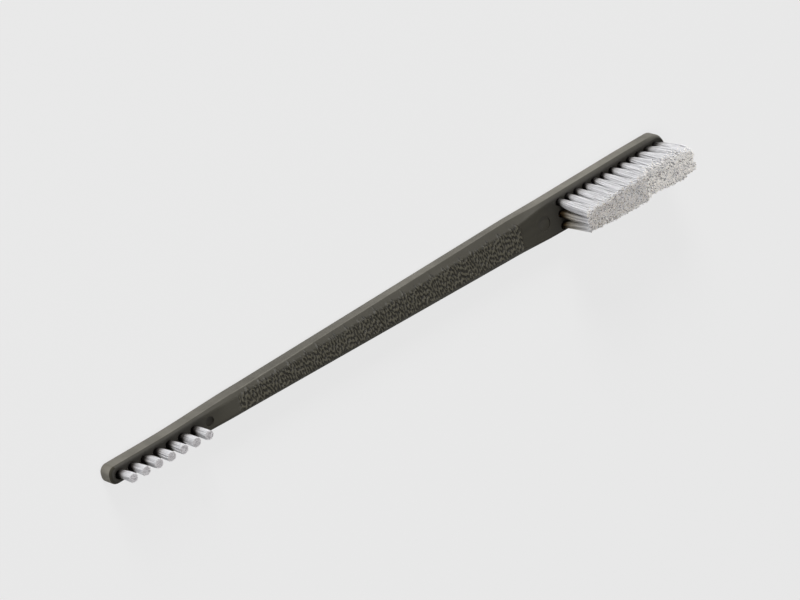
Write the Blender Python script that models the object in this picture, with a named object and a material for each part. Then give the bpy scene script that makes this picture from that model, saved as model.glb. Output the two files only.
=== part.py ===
# Double-ended scrub brush: a moulded handle with a wide three-row head at one end
# and a narrow one-row head at the other, both set with nylon tufts.
# The handle lies along X with its flat back on z = 0 and the bristles pointing up (+Z).
import math

import bmesh
import bpy
from mathutils import Matrix, Vector

MM = 0.001

# Handle
LENGTH = 177.0 * MM
THICKNESS = 4.2 * MM
BACK_EDGE_RADIUS = 0.35 * MM
CREASE_RADIUS = 0.3 * MM

# Plan outline: full widths, end radii and lengths of the stretches where it changes
SMALL_HEAD_WIDTH = 4.55 * MM
NECK_WIDTH = 6.1 * MM
GRIP_END_WIDTH = 9.95 * MM
LARGE_HEAD_WIDTH = 10.8 * MM
SMALL_END_RADIUS = 1.9 * MM
LARGE_END_RADIUS = 3.0 * MM
NECK_START = 14.0 * MM
NECK_LENGTH = 27.3 * MM
GRIP_TO_HEAD_LENGTH = 11.1 * MM
LARGE_HEAD_TAPER_LENGTH = 26.7 * MM
LARGE_HEAD_LEAD = 4.24 * MM

# Sides: an upright wall below, and a sloping shoulder from its top to the front face. Along
# the neck they start to change a little after the outline does.
SIDE_NECK_LAG = 6.3 * MM
SMALL_HEAD_WALL = 3.3 * MM
NECK_WALL = 3.2 * MM
GRIP_END_WALL = 2.25 * MM
LARGE_HEAD_WALL = 2.85 * MM
SMALL_HEAD_SHOULDER = 0.5 * MM
NECK_SHOULDER = 1.05 * MM
GRIP_END_SHOULDER = 1.85 * MM
LARGE_HEAD_SHOULDER = 0.65 * MM

# Round dents left by the mould in the front face, one beside each head
LARGE_MARK_DIAMETER = 3.8 * MM
LARGE_MARK_FROM_HOLES = 5.84 * MM
SMALL_MARK_DIAMETER = 2.4 * MM
SMALL_MARK_FROM_HOLES = 4.7 * MM
MARK_DEPTH = 0.15 * MM

# Tuft holes
HOLE_DEPTH = 3.0 * MM
LARGE_HOLE_DIAMETER = 2.0 * MM
LARGE_COLUMNS = 12
LARGE_ROWS = 3
LARGE_COLUMN_PITCH = 2.96 * MM
LARGE_ROW_FROM_SIDE = 2.2 * MM
LARGE_LAST_HOLE_FROM_END = 3.6 * MM
SMALL_HOLE_DIAMETER = 2.2 * MM
SMALL_TUFTS = 7
SMALL_PITCH = 3.7 * MM
SMALL_FIRST_HOLE_FROM_END = 2.3 * MM

# Anchor wires: a flat bit of metal across each tuft's fold, pressed into the wall of its hole
ANCHOR_THICKNESS = 0.35 * MM
ANCHOR_HEIGHT = 1.2 * MM
ANCHOR_BITE = 0.25 * MM
ANCHOR_ANGLE = math.radians(30)

# Tufts
SEAT_CLEARANCE = 0.3 * MM
FOLD_TOP_BELOW_FACE = 0.6 * MM
STRAND_ROOT_RADIUS = 0.15 * MM
STRAND_TIP_RADIUS = 0.21 * MM
STRAND_SIDES = 3
INNER_STRANDS = 3
LARGE_OUTER_STRANDS = 7
SMALL_OUTER_STRANDS = 8
INNER_RING_SHARE = 0.4
STRAND_GAP = 0.4 * MM
STRAND_ROOT_DEPTH = 0.3 * MM
STRAND_EDGE = 0.03 * MM

# Places along the handle, from the small end
NECK_END = NECK_START + NECK_LENGTH
SIDE_NECK_START = NECK_START + SIDE_NECK_LAG
SMALL_LAST_HOLE = SMALL_FIRST_HOLE_FROM_END + (SMALL_TUFTS - 1) * SMALL_PITCH
LARGE_FIRST_HOLE = LENGTH - LARGE_LAST_HOLE_FROM_END - (LARGE_COLUMNS - 1) * LARGE_COLUMN_PITCH
LARGE_HEAD_START = LARGE_FIRST_HOLE - LARGE_HEAD_LEAD
LARGE_HEAD_FULL = LARGE_HEAD_START + LARGE_HEAD_TAPER_LENGTH
GRIP_END = LARGE_HEAD_START - GRIP_TO_HEAD_LENGTH
LARGE_MARK_PLACE = LARGE_FIRST_HOLE - LARGE_MARK_FROM_HOLES
SMALL_MARK_PLACE = SMALL_LAST_HOLE + SMALL_MARK_FROM_HOLES

# Bristle trim, as heights over the front face
LARGE_TRIM = 10.6 * MM
NOTCH_COLUMN = 8
NOTCH_DEPTH = 2.6 * MM
NOTCH_SLOPE = 3.8 * MM
TOE_DROP_AT_NOTCH = 1.7 * MM
TOE_DROP = 1.4 * MM
SMALL_TRIM = 5.4 * MM
SMALL_TIP_DIAMETER = 2.4 * MM

# Lean of the wide head's tufts: the outer rows lean in, the most at the first column. The
# first columns and the toe lean towards +X.
TIP_ROW_PITCH_AT_START = 2.0 * MM
TIP_ROW_PITCH_AT_NOTCH = 2.6 * MM
LEAD_COLUMNS = 5
LEAD_LEAN = 0.8 * MM
TOE_LEAN_AT_NOTCH = 0.8 * MM
TOE_LEAN_AT_END = 1.6 * MM

# Facets
SHARP_ANGLE = math.radians(25)
CORNER_STEPS = 6
BLEND_STEPS = 6
HOLE_SIDES = 12
FOLD_SIDES = 7
MARK_SIDES = 24
CUT_OVERRUN = 0.5 * MM


def clear_scene():
    for item in list(bpy.data.objects):
        bpy.data.objects.remove(item, do_unlink=True)


def new_collection(name):
    collection = bpy.data.collections.new(name)
    bpy.context.scene.collection.children.link(collection)
    return collection


def new_material(name, colour, roughness, metallic):
    material = bpy.data.materials.new(name)
    material.use_nodes = True
    shader = material.node_tree.nodes["Principled BSDF"]
    shader.inputs["Base Color"].default_value = (*colour, 1.0)
    shader.inputs["Roughness"].default_value = roughness
    shader.inputs["Metallic"].default_value = metallic
    material.diffuse_color = (*colour, 1.0)
    return material


def mesh_object(name, bm, collection, material=None):
    """Turns a bmesh into an object of its own."""
    bmesh.ops.recalc_face_normals(bm, faces=bm.faces)
    mesh = bpy.data.meshes.new(name)
    bm.to_mesh(mesh)
    bm.free()
    item = bpy.data.objects.new(name, mesh)
    collection.objects.link(item)
    if material:
        mesh.materials.append(material)
    return item


def blend(start, end, place, low, high):
    """Value that eases from low to high while place goes from start to end."""
    share = min(max((place - start) / (end - start), 0.0), 1.0)
    return low + (high - low) * share * share * (3.0 - 2.0 * share)


def straight(start, end, place, low, high):
    share = min(max((place - start) / (end - start), 0.0), 1.0)
    return low + (high - low) * share


# The handle's shape at a place along it. Places run from the small end to the large end.


def half_width(place):
    grip = straight(NECK_END, GRIP_END, place, NECK_WIDTH, GRIP_END_WIDTH)
    if place < NECK_END:
        return blend(NECK_START, NECK_END, place, SMALL_HEAD_WIDTH, grip) / 2
    if place < LARGE_HEAD_START:
        return grip / 2
    head = straight(LARGE_HEAD_START, LARGE_HEAD_FULL, place, GRIP_END_WIDTH, LARGE_HEAD_WIDTH)
    return head / 2


def side_value(place, small_head, neck, grip_end, large_head):
    """A measure of the sides, which runs evenly along the grip and eases at both heads."""
    grip = straight(NECK_END, GRIP_END, place, neck, grip_end)
    if place < NECK_END:
        return blend(SIDE_NECK_START, NECK_END, place, small_head, grip)
    return blend(GRIP_END, LARGE_HEAD_START, place, grip, large_head)


def wall_height(place):
    return side_value(place, SMALL_HEAD_WALL, NECK_WALL, GRIP_END_WALL, LARGE_HEAD_WALL)


def shoulder_inset(place):
    return side_value(
        place, SMALL_HEAD_SHOULDER, NECK_SHOULDER, GRIP_END_SHOULDER, LARGE_HEAD_SHOULDER,
    )


def side_places():
    """Places of the side stations between the rounded ends, closest where the outline blends."""
    places = [NECK_START]
    places += steps_between(NECK_START, SIDE_NECK_START, BLEND_STEPS // 2)
    places += steps_between(SIDE_NECK_START, NECK_END, BLEND_STEPS)
    places += steps_between(NECK_END, GRIP_END, BLEND_STEPS)
    places += steps_between(GRIP_END, LARGE_HEAD_START, BLEND_STEPS)
    places += steps_between(LARGE_HEAD_START, LARGE_HEAD_FULL, BLEND_STEPS // 2)
    return places


def steps_between(start, end, count):
    return [start + (end - start) * (step + 1) / count for step in range(count)]


def corner(place, radius, inset, first_angle, last_angle):
    """Quarter round of the plan outline, moved inwards by inset."""
    side = half_width(place) - radius
    points = []
    for step in range(CORNER_STEPS + 1):
        angle = first_angle + (last_angle - first_angle) * step / CORNER_STEPS
        along = place + (radius - inset) * math.cos(angle)
        points.append((along, side + (radius - inset) * math.sin(angle), place))
    return points


def outline(inset_at):
    """Plan outline moved inwards, as (place, y, place of its section), anticlockwise."""
    small = SMALL_END_RADIUS
    large = LENGTH - LARGE_END_RADIUS
    upper = corner(large, LARGE_END_RADIUS, inset_at(large), 0.0, math.pi / 2)
    for place in reversed(side_places()):
        upper.append((place, half_width(place) - inset_at(place), place))
    upper += corner(small, SMALL_END_RADIUS, inset_at(small), math.pi / 2, math.pi)
    lower = [(along, -y, place) for along, y, place in reversed(upper)]
    return upper + lower


def shoulder_directions(place):
    """Inward and upward parts of the shoulder's slope."""
    rise = THICKNESS - wall_height(place)
    slope = math.hypot(shoulder_inset(place), rise)
    return shoulder_inset(place) / slope, rise / slope


def handle_rings():
    """Outlines from the back face to the front face, each with its inset and height."""
    turned = BACK_EDGE_RADIUS * (1.0 - math.cos(math.pi / 4))
    return [
        (lambda place: BACK_EDGE_RADIUS, lambda place: 0.0),
        (lambda place: turned, lambda place: turned),
        (lambda place: 0.0, lambda place: BACK_EDGE_RADIUS),
        (lambda place: 0.0, lambda place: wall_height(place) - CREASE_RADIUS),
        (
            lambda place: CREASE_RADIUS * shoulder_directions(place)[0],
            lambda place: wall_height(place) + CREASE_RADIUS * shoulder_directions(place)[1],
        ),
        (
            lambda place: shoulder_inset(place) - CREASE_RADIUS * shoulder_directions(place)[0],
            lambda place: THICKNESS - CREASE_RADIUS * shoulder_directions(place)[1],
        ),
        (lambda place: shoulder_inset(place) + CREASE_RADIUS, lambda place: THICKNESS),
    ]


def handle_body(name, collection, material):
    """Loft between the plan outlines, closed by the flat back and the flat front."""
    bm = bmesh.new()
    rings = []
    for inset_at, height_at in handle_rings():
        ring = []
        for along, y, place in outline(inset_at):
            ring.append(bm.verts.new((along - LENGTH / 2, y, height_at(place))))
        rings.append(ring)
    for low, high in zip(rings, rings[1:]):
        for index in range(len(low)):
            after = (index + 1) % len(low)
            bm.faces.new((low[index], low[after], high[after], high[index]))
    bm.faces.new(list(reversed(rings[0])))
    bm.faces.new(rings[-1])
    return mesh_object(name, bm, collection, material)


# Places of the holes, in the part's own frame


def large_column(column):
    return LARGE_FIRST_HOLE - LENGTH / 2 + (column - 1) * LARGE_COLUMN_PITCH


def from_middle_row(row):
    """Rows counted from the middle one. Row 1 lies on the +Y side."""
    return (LARGE_ROWS + 1) / 2 - row


def large_row(row):
    pitch = (LARGE_HEAD_WIDTH - 2 * LARGE_ROW_FROM_SIDE) / (LARGE_ROWS - 1)
    return from_middle_row(row) * pitch


def small_place(index):
    return -LENGTH / 2 + SMALL_FIRST_HOLE_FROM_END + (index - 1) * SMALL_PITCH


def large_holes():
    """(row, column, x, y) of each hole of the wide head."""
    holes = []
    for row in range(1, LARGE_ROWS + 1):
        for column in range(1, LARGE_COLUMNS + 1):
            holes.append((row, column, large_column(column), large_row(row)))
    return holes


def add_cylinder(bm, x, y, low, high, diameter, sides):
    centre = Matrix.Translation(Vector((x, y, (low + high) / 2)))
    bmesh.ops.create_cone(
        bm, cap_ends=True, segments=sides, radius1=diameter / 2, radius2=diameter / 2,
        depth=high - low, matrix=centre,
    )


def add_bar(bm, x, y, low, high, length, thickness):
    """Upright flat bar across a hole, at the anchors' angle."""
    place = Matrix.Translation(Vector((x, y, (low + high) / 2)))
    turn = Matrix.Rotation(ANCHOR_ANGLE, 4, "Z")
    size = Matrix.Diagonal(Vector((length, thickness, high - low, 1.0)))
    bmesh.ops.create_cube(bm, size=1.0, matrix=place @ turn @ size)


def cutter(name, bm, collection):
    item = mesh_object(name, bm, collection)
    item.hide_render = True
    item.display_type = "WIRE"
    return item


def add_boolean(item, operation, tool):
    modifier = item.modifiers.new(tool.name, "BOOLEAN")
    modifier.operation = operation
    modifier.solver = "EXACT"
    modifier.object = tool


def hole_cutter(collection):
    bm = bmesh.new()
    bottom = THICKNESS - HOLE_DEPTH
    top = THICKNESS + CUT_OVERRUN
    for _row, _column, x, y in large_holes():
        add_cylinder(bm, x, y, bottom, top, LARGE_HOLE_DIAMETER, HOLE_SIDES)
    for index in range(1, SMALL_TUFTS + 1):
        add_cylinder(bm, small_place(index), 0.0, bottom, top, SMALL_HOLE_DIAMETER, HOLE_SIDES)
    return cutter("tuft_hole_cutter", bm, collection)


def anchor_length(hole_diameter):
    return hole_diameter + 2 * ANCHOR_BITE


def anchor_span():
    """Lowest and highest point of an anchor wire, which stands in the fold at the hole's bottom."""
    bottom = THICKNESS - HOLE_DEPTH + 2 * SEAT_CLEARANCE
    return bottom, bottom + ANCHOR_HEIGHT


def slot_cutter(collection):
    """Dents that the anchor wires press into the walls of their holes."""
    bm = bmesh.new()
    low, high = anchor_span()
    wide = ANCHOR_THICKNESS + 2 * SEAT_CLEARANCE
    low -= SEAT_CLEARANCE
    high += SEAT_CLEARANCE
    for _row, _column, x, y in large_holes():
        length = anchor_length(LARGE_HOLE_DIAMETER) + 2 * SEAT_CLEARANCE
        add_bar(bm, x, y, low, high, length, wide)
    for index in range(1, SMALL_TUFTS + 1):
        length = anchor_length(SMALL_HOLE_DIAMETER) + 2 * SEAT_CLEARANCE
        add_bar(bm, small_place(index), 0.0, low, high, length, wide)
    return cutter("anchor_slot_cutter", bm, collection)


def mark_cutter(collection):
    bm = bmesh.new()
    low = THICKNESS - MARK_DEPTH
    high = THICKNESS + CUT_OVERRUN
    marks = ((LARGE_MARK_PLACE, LARGE_MARK_DIAMETER), (SMALL_MARK_PLACE, SMALL_MARK_DIAMETER))
    for place, diameter in marks:
        add_cylinder(bm, place - LENGTH / 2, 0.0, low, high, diameter, MARK_SIDES)
    return cutter("mould_mark_cutter", bm, collection)


def make_handle(parts, tools, material):
    handle = handle_body("handle", parts, material)
    add_boolean(handle, "DIFFERENCE", mark_cutter(tools))
    add_boolean(handle, "DIFFERENCE", hole_cutter(tools))
    add_boolean(handle, "DIFFERENCE", slot_cutter(tools))
    handle.data.shade_smooth()
    handle.data.set_sharp_from_angle(angle=SHARP_ANGLE)
    return handle


# Tufts


def large_trim(x):
    """Height of the trimmed tips over the front face: a level block that slopes down to a
    notch, and beyond the notch a lower toe that rises a little to its end."""
    wall = large_column(NOTCH_COLUMN) + LARGE_COLUMN_PITCH / 2
    if x < wall:
        return LARGE_TRIM - straight(wall - NOTCH_SLOPE, wall, x, 0.0, NOTCH_DEPTH)
    return LARGE_TRIM - straight(wall, LENGTH / 2, x, TOE_DROP_AT_NOTCH, TOE_DROP)


def small_trim(x):
    return SMALL_TRIM


def tip_column(column):
    """Middle of a tuft's tips along the wide head."""
    if column > NOTCH_COLUMN:
        first = NOTCH_COLUMN + 1
        lean = straight(first, LARGE_COLUMNS, column, TOE_LEAN_AT_NOTCH, TOE_LEAN_AT_END)
    else:
        lean = straight(1, LEAD_COLUMNS, column, LEAD_LEAN, 0.0)
    return large_column(column) + lean


def tip_row_pitch(column):
    return straight(1, NOTCH_COLUMN, column, TIP_ROW_PITCH_AT_START, TIP_ROW_PITCH_AT_NOTCH)


def large_tip_radii(column):
    """How far a tuft's outer strands stand from its middle, along and across the head."""
    places = [tip_column(number) for number in range(1, LARGE_COLUMNS + 1)]
    pitches = [after - place for place, after in zip(places, places[1:])]
    along = min(pitches[max(column - 2, 0):column])
    return tuple((pitch - STRAND_GAP) / 2 - STRAND_TIP_RADIUS for pitch in (along, tip_row_pitch(column)))


def ring_points(count, radius_x, radius_y, turn):
    points = []
    for index in range(count):
        angle = turn + 2 * math.pi * index / count
        points.append((radius_x * math.cos(angle), radius_y * math.sin(angle)))
    return points


def strand_places(outer_count, radius_x, radius_y, x, y):
    """Inner and outer ring of strands round a centre."""
    offsets = ring_points(
        INNER_STRANDS, radius_x * INNER_RING_SHARE, radius_y * INNER_RING_SHARE, math.pi / 2,
    )
    offsets += ring_points(outer_count, radius_x, radius_y, 0.0)
    return [Vector((x + dx, y + dy, 0.0)) for dx, dy in offsets]


def add_strand(bm, root, tip):
    """One bristle strand: slim and three-sided, from its root in the fold to its cut tip."""
    foot = []
    head = []
    for index in range(STRAND_SIDES):
        angle = 2 * math.pi * index / STRAND_SIDES
        side = Vector((math.cos(angle), math.sin(angle), 0.0))
        foot.append(bm.verts.new(root + side * STRAND_ROOT_RADIUS))
        head.append(bm.verts.new(tip + side * STRAND_TIP_RADIUS))
    for index in range(STRAND_SIDES):
        after = (index + 1) % STRAND_SIDES
        bm.faces.new((foot[index], foot[after], head[after], head[index]))
    bm.faces.new(list(reversed(foot)))
    bm.faces.new(head)


def strands_tool(name, outer_count, base, tip, tip_radii, trim, fold_radius, collection):
    """All strands of one tuft: tight at the fold and fanned out at the tips."""
    bm = bmesh.new()
    fold_top = THICKNESS - FOLD_TOP_BELOW_FACE
    flat_radius = fold_radius * math.cos(math.pi / FOLD_SIDES)
    root_radius = flat_radius - STRAND_ROOT_RADIUS - STRAND_EDGE
    roots = strand_places(outer_count, root_radius, root_radius, base[0], base[1])
    tips = strand_places(outer_count, tip_radii[0], tip_radii[1], tip[0], tip[1])
    for root, end in zip(roots, tips):
        root.z = fold_top
        end.z = THICKNESS + trim(end.x)
        below = (root - end).normalized() * STRAND_ROOT_DEPTH
        add_strand(bm, root + below, end)
    return cutter(name, bm, collection)


def make_tuft(name, hole_diameter, outer_count, base, tip, tip_radii, trim, parts, tools, material):
    """The folded tuft in its hole, the anchor wire that holds the fold, and the bristles."""
    fold_diameter = hole_diameter - 2 * SEAT_CLEARANCE
    bottom = THICKNESS - HOLE_DEPTH + SEAT_CLEARANCE
    bm = bmesh.new()
    add_cylinder(
        bm, base[0], base[1], bottom, THICKNESS - FOLD_TOP_BELOW_FACE, fold_diameter, FOLD_SIDES,
    )
    tuft = mesh_object(name, bm, parts, material)
    low, high = anchor_span()
    bm = bmesh.new()
    add_bar(bm, base[0], base[1], low, high, anchor_length(hole_diameter), ANCHOR_THICKNESS)
    add_boolean(tuft, "UNION", cutter(name + "_anchor", bm, tools))
    strands = strands_tool(
        name + "_strands", outer_count, base, tip, tip_radii, trim, fold_diameter / 2, tools,
    )
    add_boolean(tuft, "UNION", strands)
    return tuft


def make_large_tufts(parts, tools, material):
    for row, column, x, y in large_holes():
        tip = (tip_column(column), from_middle_row(row) * tip_row_pitch(column))
        make_tuft(
            f"large_tuft_r{row}_c{column:02d}", LARGE_HOLE_DIAMETER, LARGE_OUTER_STRANDS,
            (x, y), tip, large_tip_radii(column), large_trim, parts, tools, material,
        )


def make_small_tufts(parts, tools, material):
    tip_radius = SMALL_TIP_DIAMETER / 2 - STRAND_TIP_RADIUS
    for index in range(1, SMALL_TUFTS + 1):
        centre = (small_place(index), 0.0)
        make_tuft(
            f"small_tuft_{index}", SMALL_HOLE_DIAMETER, SMALL_OUTER_STRANDS,
            centre, centre, (tip_radius, tip_radius), small_trim, parts, tools, material,
        )


def main():
    clear_scene()
    parts = new_collection("scrub_brush")
    tools = new_collection("cutters")
    plastic = new_material("handle_plastic", (0.055, 0.053, 0.043), 0.4, 0.0)
    nylon = new_material("bristle_nylon", (0.8, 0.8, 0.82), 0.4, 0.0)
    make_handle(parts, tools, plastic)
    make_large_tufts(parts, tools, nylon)
    make_small_tufts(parts, tools, nylon)


main()
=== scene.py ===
import math

import bpy
import numpy as np
from mathutils import Matrix, Vector


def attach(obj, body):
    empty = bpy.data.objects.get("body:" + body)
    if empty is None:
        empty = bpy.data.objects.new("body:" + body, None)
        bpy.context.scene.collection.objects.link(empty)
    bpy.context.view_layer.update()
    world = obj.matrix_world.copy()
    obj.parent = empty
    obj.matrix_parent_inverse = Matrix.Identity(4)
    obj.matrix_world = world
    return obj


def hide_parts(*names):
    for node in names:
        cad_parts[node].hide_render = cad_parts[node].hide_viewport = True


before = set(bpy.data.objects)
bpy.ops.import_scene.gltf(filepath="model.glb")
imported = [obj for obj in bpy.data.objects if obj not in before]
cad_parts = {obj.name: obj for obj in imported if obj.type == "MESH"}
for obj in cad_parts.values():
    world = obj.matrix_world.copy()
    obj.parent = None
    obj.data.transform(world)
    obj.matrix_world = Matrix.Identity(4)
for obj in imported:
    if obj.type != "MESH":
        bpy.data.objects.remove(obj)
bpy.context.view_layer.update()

MM = 0.001
BODY = "root"

# Handle
LENGTH = 177.0 * MM
THICKNESS = 4.2 * MM
BACK_EDGE_RADIUS = 0.35 * MM
CREASE_LENGTH = 0.3 * MM

# Plan outline: full widths, end radii and the places where it changes
SMALL_HEAD_WIDTH = 4.55 * MM
NECK_WIDTH = 6.1 * MM
GRIP_END_WIDTH = 9.95 * MM
LARGE_HEAD_WIDTH = 10.8 * MM
SMALL_END_RADIUS = 1.9 * MM
LARGE_END_RADIUS = 3.0 * MM
NECK_START = 14.0 * MM
NECK_END = 41.3 * MM
GRIP_END = 125.5 * MM
LARGE_HEAD_START = 136.6 * MM
LARGE_HEAD_FULL = 163.3 * MM

# Sides: an upright wall below, and a sloping shoulder from its top to the front face
SIDE_NECK_START = 20.3 * MM
SMALL_HEAD_WALL = 3.3 * MM
NECK_WALL = 3.2 * MM
GRIP_END_WALL = 2.25 * MM
LARGE_HEAD_WALL = 2.85 * MM
SMALL_HEAD_SHOULDER = 0.5 * MM
NECK_SHOULDER = 1.05 * MM
GRIP_END_SHOULDER = 1.85 * MM
LARGE_HEAD_SHOULDER = 0.65 * MM

# Round dents left by the mould in the front face: place, diameter and depth of each
MARKS = ((135.0 * MM, 3.8 * MM, 0.32 * MM), (29.2 * MM, 2.4 * MM, 0.5 * MM))
# Painted shade on the floors of the dents, for each
MARK_SHADE = (0.6, 1.0)
MARK_SIDES = 64

# Tuft holes
HOLE_DEPTH = 3.0 * MM
HOLE_SIDES = 32
RIM_CHAMFER = 0.08 * MM
CUT_OVERRUN = 0.5 * MM
LARGE_HOLE_DIAMETER = 2.0 * MM
LARGE_COLUMNS = 12
LARGE_ROWS = 3
LARGE_COLUMN_PITCH = 2.96 * MM
LARGE_ROW_PITCH = 3.2 * MM
LARGE_LAST_HOLE_FROM_END = 3.6 * MM
SMALL_HOLE_DIAMETER = 2.2 * MM
SMALL_TUFTS = 7
SMALL_PITCH = 3.7 * MM
SMALL_FIRST_HOLE_FROM_END = 2.3 * MM

# Grain: short raised wrinkles on the front of the grip. They run over the creases onto the
# shoulders and end there in an uneven border.
GRAIN_START = 38.1 * MM
GRAIN_END = 127.8 * MM
GRAIN_HEIGHT = 0.22 * MM
GRAIN_WAVE = 0.66 * MM
GRAIN_STRETCH = 0.43
GRAIN_SLANT = math.radians(14)
GRAIN_BAND = 0.36
GRAIN_FILL = 0.2
GRAIN_CONTRAST = 2.4
GRAIN_CELL = 0.1 * MM
GRAIN_STEP = 0.125 * MM
GRAIN_EDGE = 0.35 * MM
GRAIN_OVERLAP = 0.6 * MM
GRAIN_RAGGED = 0.7 * MM
LONG_TEETH = 0.71 * MM
SHORT_TEETH = 0.29 * MM
TEETH_SKEW = 0.8 * MM
GRAIN_SIDE_REACH = 0.9 * MM
GRAIN_SIDE_STEPS = 6
GRAIN_SEED = 12

# Worn edges, painted light and painted shade on the handle: how far each reaches, and how strong
# it is
CREASE_WEAR = 0.2 * MM
# Painted light: the walls, the two ends, the shoulders and the front beside the neck are made
# paler
END_LIGHT_REACH = 2.2 * MM
END_CAP_LIGHT = 1.25
WALL_LIGHT_PLACES = np.array((16, 48, 85, 98, 104, 117, 130, 142, 161, 172)) * MM
WALL_LIGHT = (0.79, 0.46, 0.68, 0.9, 0.76, 0.67, 0.79, 1.08, 1.14, 0.85)
SHOULDER_LIGHT = 0.11
HEAD_SHOULDER_LIGHT = 0.16
BELOW_FRONT_FADE = 0.3 * MM
TOE_SHOULDER_LIGHT = 1.0
TOE_LIGHT_REACH = 8.0 * MM
NECK_FACE_LIGHT = 0.12
NECK_LIGHT_PLACE = 37.0 * MM
NECK_LIGHT_REACH = 4.5 * MM
# Painted shade round the tuft holes of each head
LARGE_SHADE_REACH = 4.6 * MM
SMALL_SHADE_REACH = 3.5 * MM

# Mesh steps of the handle
CORNER_STEPS = 14
ROUND_STEPS = 4
PLAIN_STEP = 0.5 * MM
ACROSS_STEPS = 60
HANDLE_SHARP_ANGLE = math.radians(38)

# Filaments. Each is folded once, so that it has two cut tips.
LARGE_FILAMENT_RADIUS = 0.118 * MM
SMALL_FILAMENT_RADIUS = 0.13 * MM
FILAMENT_SIDES = 6
FOLDED_FILAMENTS = 56
SMALL_FOLDED_FILAMENTS = 72
GOLDEN_ANGLE = math.pi * (3.0 - math.sqrt(5.0))
TUFT_SEED = 23
TUFT_SHARP_ANGLE = math.radians(62)

# Their way from the tips down into the hole and round the wire
RISE_STEPS = 5
LARGE_FAN_POWER = 0.5
SMALL_FAN_POWER = 0.5
BOW = 0.05 * MM
LARGE_ROOT_SHARES = (0.7, 0.92)
LARGE_ROOT_SHIFT = 0.26 * MM
SMALL_ROOT_SHARES = (0.64, 0.96)
SMALL_ROOT_SHIFT = 0.36 * MM
WIRE_SPREAD_SHARE = 0.8
BEND_STEPS = 4
BEND_DEPTH = 0.14 * MM
BEND_SCATTER = 0.25 * MM

# Tips: how unevenly they end, and more so at the outer edges of the heads
TIP_JITTER = 0.04 * MM
BLOCK_TIP_SCATTER = 0.16 * MM
TOE_TIP_SCATTER = 0.11 * MM
NOTCH_TIP_SCATTER = 0.4 * MM
SMALL_TIP_SCATTER = 0.08 * MM
EDGE_SHARE = 0.3
EDGE_SCATTER = 1.3 * MM
FAR_EDGE_SCATTER = 0.5 * MM
END_COLUMN = 11
END_EDGE_SCATTER = 2.2 * MM
LARGE_SQUARENESS = 0.85
SMALL_SQUARENESS = 0.1

# Cut ends: their bevel and slope, their tones, and the share of them that are dark spots of
# painted shadow
TIP_ROUND = 0.04 * MM
TIP_SHARE = 0.8
CUT_SLOPE = 0.4
TOE_CUT_SLOPE = 0.35
SMALL_CUT_SLOPE = 0.14
TOE_CUT_TILT = -0.85
BLOCK_TONES = (0.2, 0.8)
# Paler ends on the toe: painted light
TOE_LIT_TONES = (0.9, 1.0)
SMALL_TONES = (0.25, 0.5)
BLOCK_SHADOW_SPECK_SHARE = 0.21
TOE_SHADOW_SPECK_SHARE = 0.09
END_SHADOW_SPECK_SHARE = 0.04
SMALL_SHADOW_SPECK_SHARE = 0.0

# Anchor wires across the folds
ANCHOR_THICKNESS = 0.35 * MM
ANCHOR_HEIGHT = 1.2 * MM
ANCHOR_BITE = 0.25 * MM
ANCHOR_ANGLE = math.radians(30)
ANCHOR_ABOVE_BOTTOM = 0.6 * MM

# Trim of the wide head, as heights over the front face
BLOCK_TRIM = 10.6 * MM
NOTCH_TRIM = 8.5 * MM
TOE_TRIM = 8.9 * MM
TOE_END_TRIM = 9.2 * MM
NOTCH_SLOPE_START = 70.8 * MM
NOTCH_BOTTOM = 74.8 * MM

# Lean of the wide head's tufts, in millimetres by column: along the handle, and of the two
# outer rows towards the middle
LEAN_COLUMNS = (1, 2, 4, 6, 8, 9, 10, 11, 12)
LEAN_ALONG = (0.9, 0.6, 0.15, 0.0, 0.3, 0.45, 1.1, 1.8, 2.3)
LEAN_IN_LIT_ROW = (1.33, 1.33, 1.07, 0.8, 0.6, 0.57, 0.6, 0.8, 1.5)
LEAN_IN_FAR_ROW = (1.4, 1.2, 0.9, 0.9, 0.95, 0.95, 0.6, 0.45, 0.85)

# How far the tips fan out from the middle of their tuft
BLOCK_FAN = 1.5 * MM
TOE_FAN = 1.75 * MM
NOTCH_COLUMN = 8
NOTCH_FAN = 1.7 * MM
TOE_SPREAD = 1.12

# Trim, fan and lean of the narrow head's tufts
SMALL_TRIM = 5.4 * MM
SMALL_FAN_ALONG = 1.1 * MM
SMALL_FAN_ACROSS = 1.03 * MM
SMALL_LEAN_ALONG = 0.3 * MM
SMALL_LEAN_ACROSS = (0.38 * MM, -0.05 * MM)

# Noise: the span of its values that is used
NOISE_SPAN = (0.3, 0.7)

# Plastic: colours, spans and shares of what is mixed, and noise scales in features a metre
PLASTIC_STOPS = ((0.3, (0.02, 0.017, 0.009)), (0.7, (0.027, 0.0235, 0.013)))
MOTTLE_SCALE = 170.0
STREAK_SCALE = 900.0
STREAK_STRETCH = (0.15, 1.0, 1.0)
STREAK_SHARE = 0.35
STREAK_COLOUR = (0.035, 0.031, 0.019)
# Paler colour of worn edges, also used as painted light on the walls, ends, shoulders and neck
WEAR_AND_LIGHT_SPAN = (0.0, 1.5)
RUBBED_AND_LIT_SHARE = 0.75
RUBBED_AND_LIT_COLOUR = (0.302, 0.285, 0.243)
PATCH_SCALE = 260.0
PATCH_SPAN = (0.35, 0.65)
PATCH_WEAR_AND_LIGHT = (0.84, 1.14)
# Paler raised grain: painted highlight on the ridge tops
RELIEF_SPAN = (0.3, 0.9)
RAISED_HIGHLIGHT_COLOUR = (0.075, 0.068, 0.046)
# Painted shade round the holes, in the dents and in the grain's valleys
PAINTED_SHADE_SHARE = 0.9
PAINTED_SHADE_COLOUR = (0.01, 0.008, 0.004)
SATIN_SCALE = 1200.0
SATIN_ROUGHNESS = (0.56, 0.66)
DULL_ROUGHNESS = (1.0, 1.0, 1.0)
PLASTIC_SPECULAR = 0.6
PORE_SCALE = 7000.0
PORE_STRENGTH = 0.5
PORE_DEPTH = 0.012 * MM

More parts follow.
